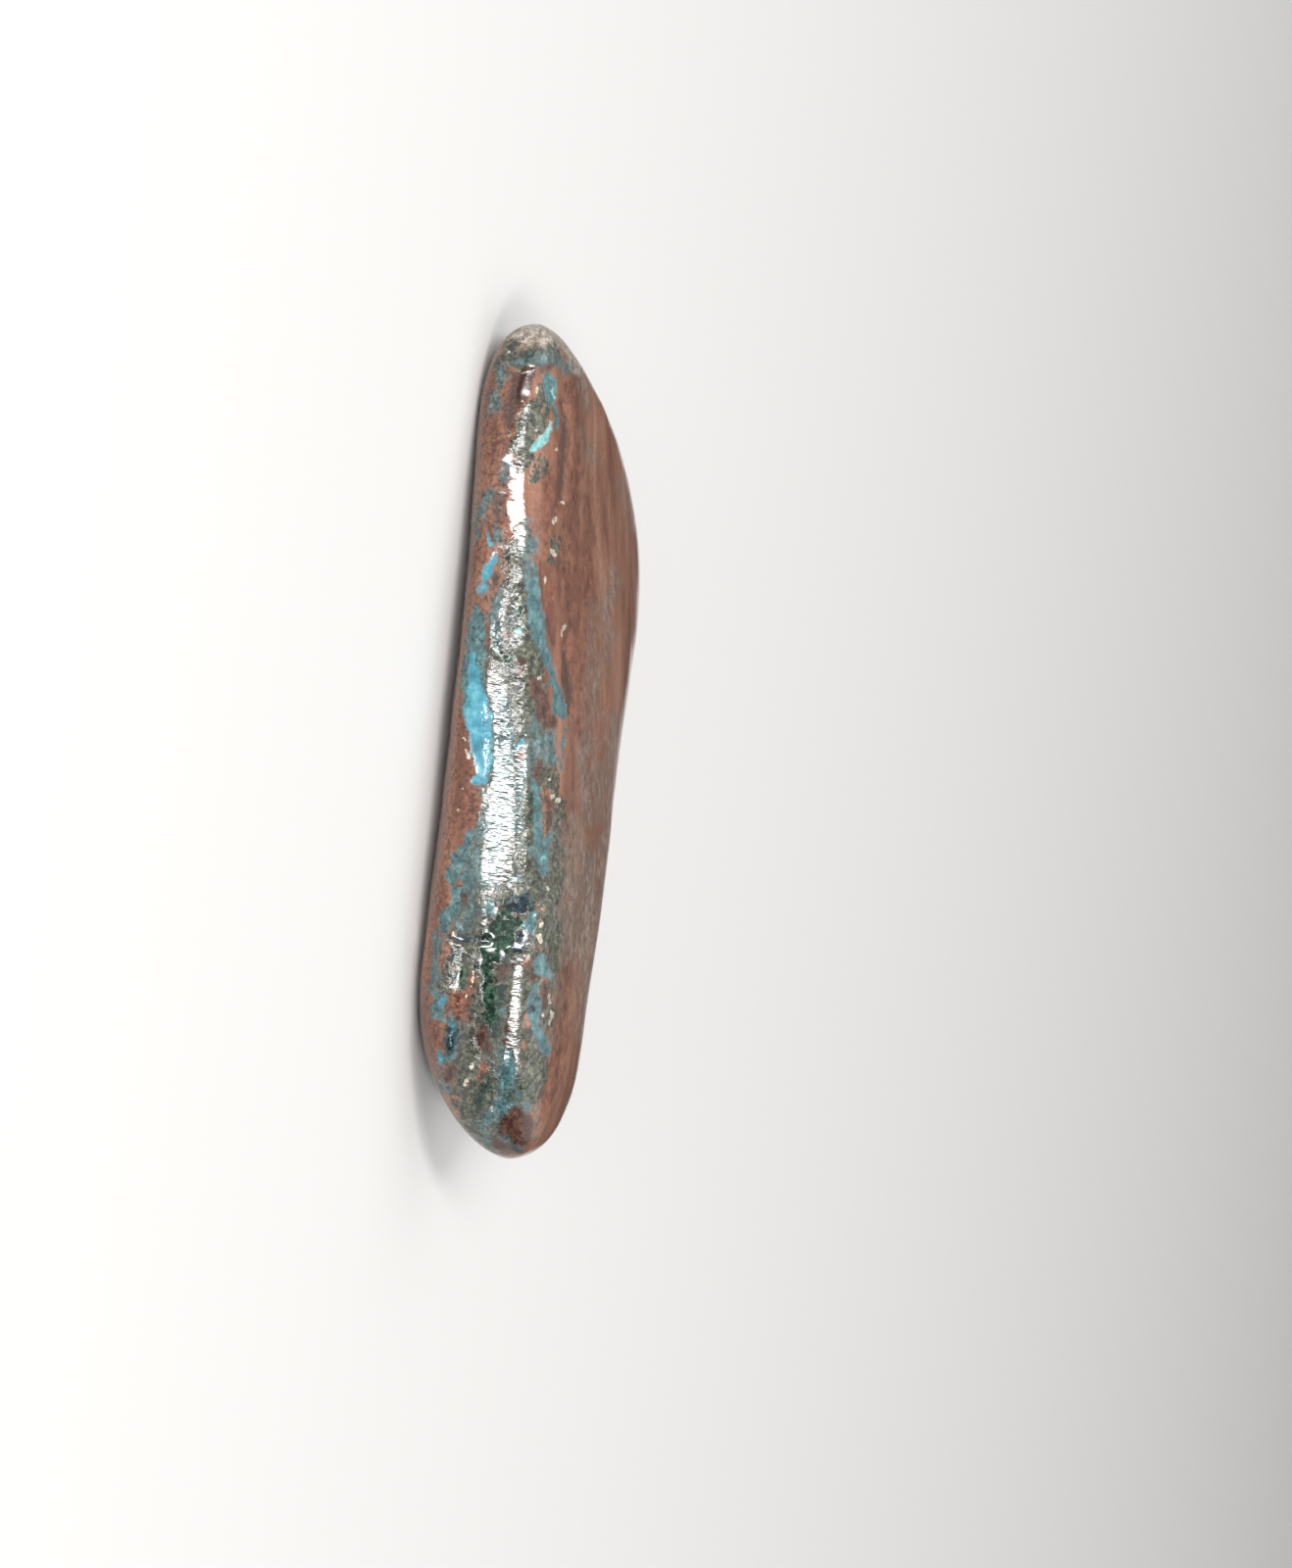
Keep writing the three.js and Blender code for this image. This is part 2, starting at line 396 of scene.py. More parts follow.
TEAL = [
    # the duller part of the great patch
    [(-7.3, -2.2, 0.15), (-6.6, -2.1, 0.4), (-5.9, -2.05, 0.52), (-5.1, -2.05, 0.58), (-4.3, -1.95, 0.66),
     (-3.4, -1.95, 0.68), (-2.6, -1.85, 0.7), (-1.8, -1.6, 0.72)],
    [(-6.6, -0.95, 0.14), (-5.9, -0.88, 0.22), (-5.2, -0.7, 0.18)],
    # under the tip
    [(-20.6, 0.2, 0.15), (-20.5, 0.55, 0.3), (-20.0, 0.62, 0.36), (-19.5, 0.75, 0.3), (-19.15, 0.85, 0.18)],
    [(-18.9, 1.15, 0.12), (-18.4, 1.25, 0.12), (-17.8, 1.3, 0.1)],
    # the long stripe above the crest, and the drop that ends it
    [(-10.0, 0.8, 0.06), (-9.2, 0.95, 0.18), (-8.5, 1.0, 0.28), (-7.8, 1.06, 0.38), (-7.1, 1.26, 0.4),
     (-6.4, 1.42, 0.43), (-5.8, 1.65, 0.36), (-5.2, 2.0, 0.3), (-4.6, 2.27, 0.24), (-3.9, 2.52, 0.22),
     (-3.2, 2.76, 0.21)],
    [(-3.2, 2.76, 0.21), (-2.75, 3.0, 0.33), (-2.3, 3.1, 0.46), (-1.95, 3.25, 0.36), (-1.7, 3.36, 0.18)],
    [(-1.0, 3.52, 0.07), (-0.5, 3.6, 0.1), (-0.1, 3.52, 0.08)],
    # the green strip above the bright line, blue at its upper edge
    [(2.2, 2.1, 0.14), (2.9, 2.3, 0.24), (3.6, 2.5, 0.26), (4.3, 2.6, 0.26), (5.0, 2.7, 0.26),
     (5.6, 2.8, 0.22)],
    [(4.95, 3.4, 0.14), (5.4, 3.3, 0.2), (6.0, 3.1, 0.26), (6.6, 3.2, 0.28), (7.1, 3.25, 0.16)],
    # the ragged shore under the bright line
    [(5.2, -1.05, 0.16), (5.7, -1.2, 0.24), (6.1, -1.15, 0.24), (6.5, -1.45, 0.28), (6.9, -1.6, 0.42),
     (7.4, -1.7, 0.4), (7.9, -1.85, 0.32), (8.25, -1.85, 0.2)],
    [(7.6, -1.2, 0.2), (8.6, -1.05, 0.18), (8.75, -1.5, 0.28), (9.2, -1.45, 0.32), (9.7, -1.6, 0.36),
     (10.1, -1.85, 0.38), (10.5, -2.1, 0.4), (10.9, -2.25, 0.32), (10.9, -1.85, 0.28)],
    [(11.2, -2.4, 0.2), (11.7, -2.45, 0.26), (12.3, -2.35, 0.26), (13.0, -2.3, 0.26), (13.7, -2.25, 0.24),
     (14.3, -2.3, 0.2)],
    # the rim of the thick end, from below
    [(14.6, -1.95, 0.3), (15.0, -1.65, 0.36), (15.35, -1.9, 0.4), (15.85, -1.85, 0.26), (16.0, -1.55, 0.16)],
    [(15.9, -1.25, 0.14), (16.25, -1.0, 0.24), (16.8, -0.8, 0.28), (17.4, -0.8, 0.28), (18.0, -0.8, 0.26),
     (18.3, -1.1, 0.16)],
    [(17.95, -1.45, 0.18), (18.2, -1.45, 0.24), (18.45, -1.4, 0.14)],
    [(19.75, -0.75, 0.2), (20.1, -0.7, 0.2)],
    # beside the notch
    [(9.5, 2.95, 0.18), (9.9, 2.9, 0.24), (10.4, 2.95, 0.24), (10.2, 2.5, 0.2)],
    [(9.1, 0.4, 0.2), (9.6, 0.5, 0.26), (9.9, 0.65, 0.16)],
    [(11.7, 3.5, 0.16), (12.15, 3.5, 0.32), (12.5, 3.35, 0.36), (12.75, 3.75, 0.28), (13.0, 4.05, 0.16)],
    [(13.5, 3.35, 0.18), (14.2, 3.3, 0.26), (14.8, 3.3, 0.28), (15.3, 3.4, 0.28), (15.8, 3.5, 0.24),
     (16.3, 3.8, 0.24), (16.8, 4.15, 0.26), (17.2, 4.3, 0.24), (17.45, 4.2, 0.14)],
    # the thick tip
    [(17.4, 2.3, 0.14), (18.2, 2.5, 0.22), (18.8, 2.45, 0.25), (19.4, 2.4, 0.2)],
    [(20.3, 2.9, 0.14), (20.4, 2.4, 0.2), (20.6, 1.9, 0.14), (21.2, 1.75, 0.2), (21.5, 1.85, 0.14)],
    [(15.2, 1.5, 0.1), (15.7, 1.5, 0.12)],
]
MINT_AND_SHEEN = [
    # the bright splash under the tip: pale turquoise, made lighter as painted sheen beside the bright line
    [(-18.1, 0.9, 0.09), (-17.5, 0.8, 0.13), (-17.0, 0.55, 0.3), (-16.7, 0.3, 0.24), (-16.35, 0.02, 0.18)],
    [(-16.95, 0.85, 0.14), (-17.0, 0.5, 0.2)],
    [(-19.9, 0.85, 0.06), (-19.4, 0.95, 0.07)],
    # glints of it in the crust
    [(-5.9, 0.35, 0.12), (-6.3, 0.4, 0.08)],
    [(6.3, 3.2, 0.07), (6.4, 3.05, 0.07)],
]
print("turquoise strokes:", len(TURQUOISE), " teal strokes:", len(TEAL), " mint strokes:", len(MINT_AND_SHEEN))

# %% Draw the blue-grey film, the grey haze and the reddish umber
FILM = [
    # the left end of the stripe, and the wash under it
    [(-12.2, 0.38, 0.12), (-11.6, 0.55, 0.2), (-11.0, 0.6, 0.3), (-10.4, 0.55, 0.36), (-9.6, 0.65, 0.4),
     (-8.6, 0.7, 0.42)],
    [(-8.4, 0.5, 0.4), (-7.2, 0.75, 0.45), (-6.2, 0.95, 0.5), (-5.2, 1.3, 0.45), (-4.6, 1.8, 0.35)],
    # the thick tip
    [(18.4, 2.1, 0.4), (19.2, 2.2, 0.5), (20.0, 2.3, 0.55), (20.7, 2.0, 0.45), (21.3, 1.7, 0.35)],
    # round the thin tip
    [(-21.3, 1.7, 0.3), (-21.1, 1.15, 0.3), (-21.7, 0.5, 0.28), (-21.4, -0.2, 0.24), (-21.4, -0.9, 0.2),
     (-21.15, -1.6, 0.16)],
    [(-20.9, -2.3, 0.2), (-20.2, -2.0, 0.22), (-19.6, -2.2, 0.3), (-19.0, -2.3, 0.36), (-18.3, -2.3, 0.25)],
    [(-15.4, -1.3, 0.2), (-15.0, -1.45, 0.28), (-14.5, -1.4, 0.22)],
    [(-13.8, -2.15, 0.22), (-13.0, -2.35, 0.26), (-12.2, -2.5, 0.2), (-11.2, -2.5, 0.15)],
    [(-11.6, -1.5, 0.16), (-11.2, -1.45, 0.14)],
    [(-8.3, -0.85, 0.25), (-7.7, -0.95, 0.34), (-7.0, -1.1, 0.3), (-6.6, -1.4, 0.25)],
    [(-7.1, 0.0, 0.25), (-6.6, 0.15, 0.3), (-6.0, 0.2, 0.25)],
    # above the crest, in the middle
    [(-1.4, 1.7, 0.2), (-1.0, 1.95, 0.28), (-0.6, 1.7, 0.25)],
    [(-0.4, 2.7, 0.3), (0.2, 2.95, 0.36), (0.9, 3.2, 0.28), (0.4, 2.5, 0.4), (0.5, 2.0, 0.4),
     (-0.2, 2.1, 0.36)],
    [(1.6, 1.5, 0.3), (2.4, 1.6, 0.36), (3.4, 1.7, 0.36), (4.4, 1.7, 0.36), (5.6, 2.0, 0.4), (6.0, 2.5, 0.4)],
    [(-2.5, -0.4, 0.4), (-1.2, 0.1, 0.5), (0.0, 0.2, 0.55), (1.2, 0.4, 0.6), (2.4, 0.5, 0.6)],
    # the wash round the bright line, towards the notch
    [(3.0, 0.8, 0.3), (3.8, 0.6, 0.5), (4.8, 0.4, 0.6), (5.8, 0.3, 0.6), (6.8, 0.4, 0.5)],
    [(3.9, -0.5, 0.2), (4.8, -0.55, 0.26), (5.4, -0.6, 0.34), (6.2, -0.8, 0.42), (6.9, -0.7, 0.5),
     (7.7, -0.8, 0.5), (8.5, -0.5, 0.5), (9.4, -0.5, 0.5), (10.2, -0.7, 0.5), (10.7, -1.1, 0.4)],
    [(6.6, 0.5, 0.5), (7.6, 0.2, 0.55), (8.6, 0.2, 0.5)],
    [(6.4, 2.6, 0.35), (7.2, 2.9, 0.35), (7.8, 2.4, 0.35), (7.6, 1.8, 0.35)],
    # the strip under the ledge, and the thick end
    [(11.2, -2.2, 0.22), (12.0, -2.25, 0.24), (13.0, -2.15, 0.24), (14.0, -2.1, 0.22)],
    [(15.2, 1.75, 0.2), (15.8, 1.7, 0.16)],
    [(17.2, 1.95, 0.2), (18.0, 2.1, 0.3), (19.0, 2.9, 0.4), (19.8, 3.5, 0.42), (20.5, 3.7, 0.34)],
    [(21.8, 2.15, 0.2), (22.2, 2.6, 0.26), (22.5, 3.0, 0.25), (22.75, 3.4, 0.15)],
    [(21.3, 1.2, 0.28), (22.0, 1.35, 0.32), (22.5, 1.7, 0.22)],
    [(18.4, -1.5, 0.2), (19.3, -1.3, 0.2), (20.0, -1.1, 0.15)],
]
HAZE = [
    [(13.0, 4.6, 0.3), (15.5, 4.7, 0.4), (17.5, 4.6, 0.4)],
    [(6.0, 5.6, 0.5), (9.0, 5.9, 0.7), (11.5, 5.9, 0.5)],
    [(4.0, 4.6, 0.3), (8.0, 5.0, 0.5), (12.0, 5.2, 0.6), (16.0, 5.0, 0.4)],
    [(-8.0, 4.4, 0.2), (-4.0, 4.5, 0.3), (0.0, 4.7, 0.3), (4.0, 5.3, 0.3)],
    [(-2.0, 6.2, 0.2), (4.0, 6.5, 0.3), (10.0, 6.6, 0.3), (16.0, 6.4, 0.3)],
    [(-17.7, 2.55, 0.18), (-17.0, 2.9, 0.25), (-16.5, 3.3, 0.22), (-16.1, 3.5, 0.1)],
    [(-20.9, 2.3, 0.3), (-20.2, 2.6, 0.3), (-19.3, 2.8, 0.2)],
    [(-15.2, 5.4, 0.15), (-14.6, 5.65, 0.2), (-14.0, 5.85, 0.22), (-13.4, 6.05, 0.18), (-12.6, 6.1, 0.12)],
    [(-10.2, 5.15, 0.12), (-9.5, 5.28, 0.22), (-8.6, 5.3, 0.2), (-7.6, 5.15, 0.18), (-6.6, 5.3, 0.2),
     (-5.6, 5.42, 0.2), (-4.7, 5.32, 0.2), (-3.8, 5.1, 0.18), (-2.8, 4.88, 0.15), (-1.5, 4.9, 0.12),
     (-0.5, 5.05, 0.12), (0.5, 5.3, 0.15), (1.5, 5.6, 0.25), (2.8, 5.8, 0.3), (3.8, 5.9, 0.2)],
    [(-1.6, 4.0, 0.1), (-1.2, 4.25, 0.18), (-0.8, 4.42, 0.1)],
    [(5.0, 5.1, 0.15), (6.0, 5.25, 0.25), (7.0, 5.5, 0.3), (8.0, 5.7, 0.3), (9.0, 5.9, 0.2)],
    [(9.2, 5.3, 0.2), (10.2, 5.5, 0.35), (11.2, 5.8, 0.4), (12.3, 6.1, 0.35), (13.4, 6.2, 0.25),
     (14.6, 6.15, 0.2), (15.6, 6.1, 0.12)],
    [(6.5, 4.15, 0.15), (7.2, 4.25, 0.24), (8.0, 4.4, 0.2), (8.8, 4.45, 0.2), (9.6, 4.65, 0.2),
     (10.2, 4.8, 0.14)],
]
UMBER = [
    [(-18.5, 2.2, 0.3), (-15.0, 2.6, 0.5), (-11.0, 2.6, 0.6), (-7.0, 3.0, 0.5), (-4.0, 3.8, 0.3)],
    [(-14.0, 3.5, 0.3), (-10.0, 3.8, 0.4), (-6.0, 4.0, 0.35), (-1.0, 4.3, 0.3)],
    [(-15.0, 1.2, 0.4), (-12.5, 1.2, 0.5), (-10.0, 1.6, 0.4), (-8.0, 1.9, 0.3)],
    [(-18.8, -1.4, 0.4), (-16.5, -1.4, 0.5), (-13.0, -1.6, 0.5), (-10.0, -2.3, 0.3)],
    [(12.5, 5.2, 0.3), (16.0, 5.2, 0.5), (19.0, 5.0, 0.6), (20.5, 4.7, 0.5)],
]
print("film strokes:", len(FILM), " haze strokes:", len(HAZE), " umber strokes:", len(UMBER))

# %% Draw the crust, the ash, the grains and the malachite
CRUST = [
    [(-12.0, 0.2, 0.3), (-10.0, 0.1, 0.6), (-8.0, 0.1, 1.0), (-6.0, 0.2, 1.4), (-4.0, 0.3, 1.7),
     (-2.0, 0.6, 1.7), (0.0, 0.9, 1.8), (3.0, 1.1, 1.7), (6.0, 1.2, 1.9), (9.0, 1.0, 2.4), (12.0, 1.0, 2.5),
     (15.0, 1.0, 2.4), (18.0, 1.1, 2.0), (21.0, 1.3, 1.5), (23.0, 1.6, 0.7)],
    [(-21.8, 0.4, 0.7), (-21.6, -1.4, 0.7)],
    [(-19.5, 0.2, 0.4), (-17.5, -0.2, 0.8), (-15.9, -0.4, 0.5)],
    [(4.0, 3.6, 0.4), (7.0, 3.9, 0.8), (10.0, 4.1, 0.8), (13.0, 4.2, 0.7), (16.0, 4.0, 0.9), (19.0, 3.7, 1.1),
     (21.5, 3.3, 1.1), (23.0, 2.6, 0.6)],
]
ASH_AND_GLARE = [
    # the pale cap of the thin tip: pale grains of its own, made paler by painted glare
    [(-23.4, -0.2, 0.5), (-23.1, -0.8, 0.6), (-22.7, -1.4, 0.5), (-22.9, 0.3, 0.5)],
    # painted glare: the pale fringe along the rim of the thin tip
    [(-22.9, 0.9, 0.35), (-22.4, 1.4, 0.35), (-21.8, 1.9, 0.3), (-21.2, 2.2, 0.2)],
]
GRAINS = [
    # under the cap of the thin tip
    [(-22.2, -1.7, 0.3), (-21.6, -2.0, 0.35), (-21.0, -2.5, 0.2)],
    [(-19.0, 0.35, 0.35), (-18.6, -0.3, 0.4), (-18.2, 0.3, 0.35), (-18.2, -0.7, 0.4), (-17.6, -0.8, 0.45),
     (-16.9, -0.8, 0.45), (-16.2, -0.7, 0.32)],
    [(-15.9, 0.5, 0.25), (-15.4, 0.6, 0.32), (-14.9, 0.5, 0.25)],
    [(-11.6, 1.8, 0.22), (-10.9, 1.85, 0.24), (-10.2, 1.9, 0.15)],
    # between the stripe and the great patch
    [(-11.0, -0.5, 0.35), (-10.2, -0.5, 0.45), (-9.4, -0.3, 0.5), (-8.6, 0.0, 0.45), (-7.8, 0.35, 0.45),
     (-7.0, 0.6, 0.45), (-6.2, 0.6, 0.6), (-5.4, 0.7, 0.8), (-4.6, 1.0, 0.9), (-3.9, 1.4, 0.55)],
    [(-5.0, 0.0, 0.6), (-4.2, 0.0, 0.6), (-3.6, 0.4, 0.5), (-3.0, 1.1, 0.35), (-2.1, 1.3, 0.35)],
    [(-6.0, -0.4, 0.35), (-5.0, -0.6, 0.4), (-4.2, -0.8, 0.3)],
    [(-2.4, 0.8, 0.5), (-1.6, 0.9, 0.55), (-0.8, 0.9, 0.4)],
    # above the bright line
    [(1.4, 2.95, 0.3), (2.2, 3.2, 0.3), (3.1, 3.55, 0.28), (3.9, 3.9, 0.2)],
    [(2.2, 1.95, 0.25), (3.0, 1.95, 0.34), (3.8, 2.1, 0.42), (4.6, 2.2, 0.45), (5.3, 2.3, 0.4)],
    [(6.2, 2.0, 0.4), (7.0, 2.2, 0.45), (7.9, 3.3, 0.4), (8.4, 3.6, 0.3), (8.1, 2.7, 0.4), (8.6, 1.2, 0.5)],
    [(9.6, 3.6, 0.3), (10.3, 3.5, 0.3), (10.9, 3.4, 0.26), (11.3, 3.0, 0.28), (12.0, 2.6, 0.3)],
    [(8.7, 0.6, 0.4), (9.0, -0.2, 0.4)],
    # the thick end
    [(11.9, -0.6, 0.45), (12.5, -0.8, 0.4), (12.9, -1.4, 0.35), (13.6, -1.4, 0.3), (14.2, -1.6, 0.25)],
    [(17.6, 0.3, 0.4), (18.3, 0.2, 0.55), (19.1, 0.3, 0.65), (19.8, 0.6, 0.75), (20.5, 0.9, 0.7),
     (21.2, 0.6, 0.4), (20.2, 1.4, 0.5), (19.4, 1.4, 0.4), (18.2, 1.5, 0.32)],
    [(14.8, 4.45, 0.2), (15.5, 4.45, 0.2)],
    [(17.4, 3.9, 0.3), (18.6, 4.2, 0.45), (19.8, 3.9, 0.45)],
    [(6.4, 3.85, 0.25), (7.4, 4.05, 0.3), (8.6, 4.0, 0.25)],
    [(10.0, 4.2, 0.3), (11.2, 4.25, 0.35), (12.2, 4.3, 0.2)],
    [(18.2, 3.6, 0.3), (18.9, 3.6, 0.35), (19.3, 3.3, 0.3)],
]
MALACHITE = [
    # the notch
    [(8.4, 3.5, 0.05), (8.8, 3.1, 0.12), (9.1, 2.7, 0.3)],
    [(9.2, 1.5, 0.4), (9.8, 1.5, 0.5), (10.4, 1.3, 0.55), (11.0, 1.2, 0.6), (11.6, 1.1, 0.6),
     (12.1, 0.7, 0.55), (12.6, 0.4, 0.4), (12.9, 0.1, 0.25)],
    [(10.0, 1.0, 0.35), (10.8, 0.7, 0.4), (11.4, 0.3, 0.34), (11.4, -0.2, 0.2)],
    [(10.0, 2.1, 0.25), (10.6, 1.9, 0.3), (11.6, 1.8, 0.34), (12.1, 1.5, 0.3)],
    # the groove of the thick end
    [(12.9, 0.75, 0.25), (13.5, 0.75, 0.3), (14.1, 0.8, 0.35), (14.7, 1.0, 0.46), (15.3, 1.1, 0.46),
     (15.9, 1.3, 0.4), (16.5, 1.45, 0.25)],
    [(13.8, 1.6, 0.24), (14.3, 1.5, 0.34), (14.8, 1.5, 0.3)],
    [(13.2, -0.6, 0.25), (13.6, -0.9, 0.3), (14.0, -0.6, 0.2)],
    [(19.0, 1.1, 0.2), (19.5, 1.3, 0.22), (20.2, 1.0, 0.3), (20.8, 1.0, 0.26)],
    # spots among the grains
    [(-4.9, -0.5, 0.2), (-4.4, 0.0, 0.24), (-4.1, 0.35, 0.18)],
    [(-5.5, -1.05, 0.18), (-4.95, -0.95, 0.2)],
    [(-7.4, 0.35, 0.18), (-7.1, 0.4, 0.16)],
    [(3.0, 2.05, 0.16), (3.6, 2.15, 0.22), (4.2, 2.15, 0.2)],
]
print("ash strokes:", len(ASH_AND_GLARE), " grain strokes:", len(GRAINS), " malachite strokes:", len(MALACHITE))

# %% Draw the navy, maroon, rust and cream
NAVY = [
    # the deepest parts of the notch, and its crack
    [(8.6, 2.5, 0.3), (9.0, 2.4, 0.45), (9.3, 2.0, 0.42), (8.9, 1.9, 0.34), (9.4, 1.75, 0.24)],
    [(10.6, 2.7, 0.22), (11.1, 2.5, 0.36), (11.5, 2.3, 0.34), (11.7, 2.0, 0.24)],
    [(11.35, 0.45, 0.12), (11.4, -0.2, 0.13), (11.4, -0.9, 0.15), (11.3, -1.4, 0.12)],
    # the thick end
    [(12.2, -1.25, 0.16), (12.5, -1.4, 0.16)],
    [(16.5, -0.75, 0.2), (17.2, -0.7, 0.22), (17.8, -0.9, 0.2)],
    [(16.3, -1.2, 0.12), (17.0, -1.2, 0.16), (17.6, -1.15, 0.12)],
    [(14.0, 3.45, 0.1), (14.6, 3.35, 0.12), (15.0, 3.2, 0.12)],
]
MAROON_AND_SHADE = [
    # on the narrow side
    [(-20.8, -0.6, 0.34), (-20.3, -1.1, 0.46), (-19.8, -0.9, 0.4), (-19.5, -1.4, 0.3)],
    [(-21.1, 0.45, 0.14), (-20.95, 0.1, 0.12)],
    [(-20.8, -0.5, 0.2), (-20.4, -0.6, 0.3), (-19.6, -1.0, 0.5), (-18.8, -1.4, 0.4), (-18.0, -1.5, 0.3)],
    [(-13.7, -1.6, 0.28), (-13.0, -1.6, 0.3), (-12.4, -1.5, 0.2)],
    [(-9.2, -1.15, 0.2), (-8.6, -1.35, 0.14)],
    [(-5.9, -0.3, 0.24), (-5.6, -0.2, 0.14)],
    [(-4.4, 0.7, 0.26), (-4.0, 0.75, 0.2)],
    [(-3.6, 1.4, 0.2), (-3.2, 1.65, 0.32), (-2.7, 1.95, 0.38), (-2.1, 2.2, 0.34), (-1.6, 2.1, 0.34),
     (-1.2, 2.5, 0.22)],
    [(-1.6, 2.9, 0.2), (-1.2, 2.8, 0.25)],
    [(1.1, 2.35, 0.16), (1.6, 2.25, 0.18), (2.1, 2.35, 0.1)],
    [(2.5, 2.75, 0.1), (3.2, 3.1, 0.16), (3.9, 3.2, 0.2), (4.5, 3.25, 0.2), (5.0, 3.15, 0.1)],
    [(8.8, -1.0, 0.22), (9.5, -1.15, 0.2)],
    [(9.9, -0.3, 0.18), (10.2, -0.3, 0.14)],
    [(12.5, 2.95, 0.14), (12.9, 3.15, 0.25), (13.15, 3.05, 0.15)],
    [(12.3, 1.65, 0.22), (12.8, 1.5, 0.32), (13.2, 1.5, 0.18)],
    [(13.4, 3.8, 0.18), (14.0, 3.85, 0.2), (14.5, 3.85, 0.15), (14.9, 3.8, 0.1)],
    [(15.6, 2.35, 0.14), (16.2, 2.15, 0.2), (16.8, 2.25, 0.2)],
    [(18.7, -0.8, 0.26), (19.3, -0.8, 0.24)],
    [(20.8, 3.2, 0.4), (21.4, 3.5, 0.7), (22.1, 3.6, 0.6), (21.5, 2.8, 0.5), (22.0, 2.5, 0.3)],
    [(22.7, 2.3, 0.3), (23.0, 2.9, 0.35)],
    [(16.3, 0.9, 0.3), (17.0, 0.7, 0.36), (17.4, 1.2, 0.25)],
    # painted shade: a dark line in the fold that runs beside the ridge of the thin end
    [(-19.4, 1.48, 0.06), (-18.5, 1.68, 0.12), (-17.5, 1.8, 0.16), (-16.5, 1.86, 0.16), (-15.5, 1.9, 0.17),
     (-14.5, 1.92, 0.13), (-13.8, 1.92, 0.08)],
    # painted shade: a dark line along the upper edge of the stripe
    [(-10.4, 1.0, 0.05), (-9.6, 1.2, 0.06), (-8.6, 1.4, 0.06), (-7.9, 1.5, 0.05)],
    [(-7.0, 1.85, 0.1), (-6.2, 2.15, 0.1), (-5.6, 2.35, 0.08)],
    # painted shade: a dark line in the second fold beside the ridge, on the upper face
    [(-5.2, 3.15, 0.15), (-4.4, 3.3, 0.2), (-3.6, 3.45, 0.22), (-2.8, 3.62, 0.2), (-2.0, 3.74, 0.12)],
]
RUST = [
    # the thin end
    [(-20.2, 1.7, 0.28), (-19.6, 1.9, 0.28), (-19.4, 1.5, 0.14)],
    [(-17.4, 1.3, 0.16), (-17.0, 1.35, 0.16)],
    [(-17.4, -2.1, 0.4), (-16.7, -1.8, 0.46), (-16.0, -2.0, 0.48), (-15.3, -2.1, 0.4), (-14.8, -1.95, 0.2)],
    # the middle
    [(-3.4, 1.45, 0.16), (-2.9, 1.5, 0.16)],
    [(0.7, 1.25, 0.16), (0.95, 1.1, 0.2)],
    [(3.0, -1.05, 0.2), (3.3, -1.35, 0.42), (3.9, -1.35, 0.46), (4.5, -1.35, 0.44), (4.95, -1.1, 0.2)],
    [(3.4, -0.8, 0.2), (4.0, -0.9, 0.24)],
    [(5.2, -1.6, 0.2), (5.6, -1.75, 0.2)],
    [(7.95, -1.35, 0.2), (8.3, -1.4, 0.28)],
    [(8.2, -2.35, 0.16), (8.9, -2.2, 0.26), (9.6, -2.25, 0.28), (10.1, -2.45, 0.16)],
    [(9.65, 1.95, 0.2), (9.75, 1.85, 0.16)],
    # the thick end
    [(12.0, 2.75, 0.16), (12.4, 2.65, 0.14)],
    [(13.4, -0.15, 0.18), (13.9, -0.2, 0.25), (14.5, -0.4, 0.36), (15.0, -0.5, 0.44), (15.5, -0.5, 0.36),
     (15.9, -0.3, 0.18)],
    [(14.4, -0.9, 0.2), (15.2, -1.0, 0.2)],
    [(16.2, -1.8, 0.18), (16.8, -1.76, 0.27), (17.4, -1.76, 0.25), (17.75, -1.82, 0.14)],
    [(18.5, 1.05, 0.22), (19.0, 1.0, 0.26)],
]
CREAM = [
    [(-19.85, -0.05, 0.1), (-19.65, -0.03, 0.09)],
    [(-18.65, -0.6, 0.11)], [(-19.05, -0.88, 0.09)], [(-17.5, 0.15, 0.09)], [(-23.15, -0.4, 0.11)],
    [(-23.1, -1.0, 0.08)], [(-21.75, -1.85, 0.09)], [(-16.6, 1.35, 0.08)], [(-13.6, 2.1, 0.09)],
    [(-12.75, 1.7, 0.09), (-12.5, 1.6, 0.08)],
    [(-10.9, 1.75, 0.11), (-10.75, 1.9, 0.11)],
    [(-9.3, 1.5, 0.08), (-9.0, 1.6, 0.08)],
    [(-3.75, 1.85, 0.1), (-3.6, 1.7, 0.09)],
    [(3.0, 3.6, 0.11), (3.15, 3.6, 0.1)], [(2.75, 3.3, 0.09), (3.0, 3.3, 0.06)], [(1.9, 3.05, 0.09)],
    [(4.2, -1.97, 0.09)], [(3.05, -1.8, 0.08)], [(0.2, -2.05, 0.08)],
    [(0.8, -1.85, 0.09), (1.2, -1.65, 0.11)],
    [(7.95, 3.55, 0.1), (8.3, 3.7, 0.09)],
    [(10.1, 3.4, 0.13), (10.3, 3.35, 0.09)], [(10.85, 3.35, 0.15), (11.1, 3.5, 0.09)],
    [(13.95, 4.1, 0.06), (14.5, 4.2, 0.07)], [(14.9, 4.4, 0.09), (15.2, 4.5, 0.12), (15.6, 4.4, 0.08)],
    [(15.2, 3.9, 0.08)], [(14.6, -0.3, 0.1)], [(14.9, -0.75, 0.04), (15.5, -0.8, 0.06)],
    [(13.2, -0.05, 0.07), (13.9, -0.15, 0.08)], [(-6.2, 2.75, 0.07), (-6.8, 2.85, 0.08)],
    [(8.4, 0.5, 0.09), (8.7, 0.35, 0.09)], [(10.0, -0.25, 0.06)], [(19.2, 0.2, 0.09), (19.6, 0.05, 0.09)],
    [(18.3, 0.45, 0.09), (18.6, 0.35, 0.08)], [(20.6, 1.8, 0.09), (20.8, 1.75, 0.08)],
]
print("small strokes:", len(NAVY) + len(MAROON_AND_SHADE) + len(RUST) + len(CREAM))

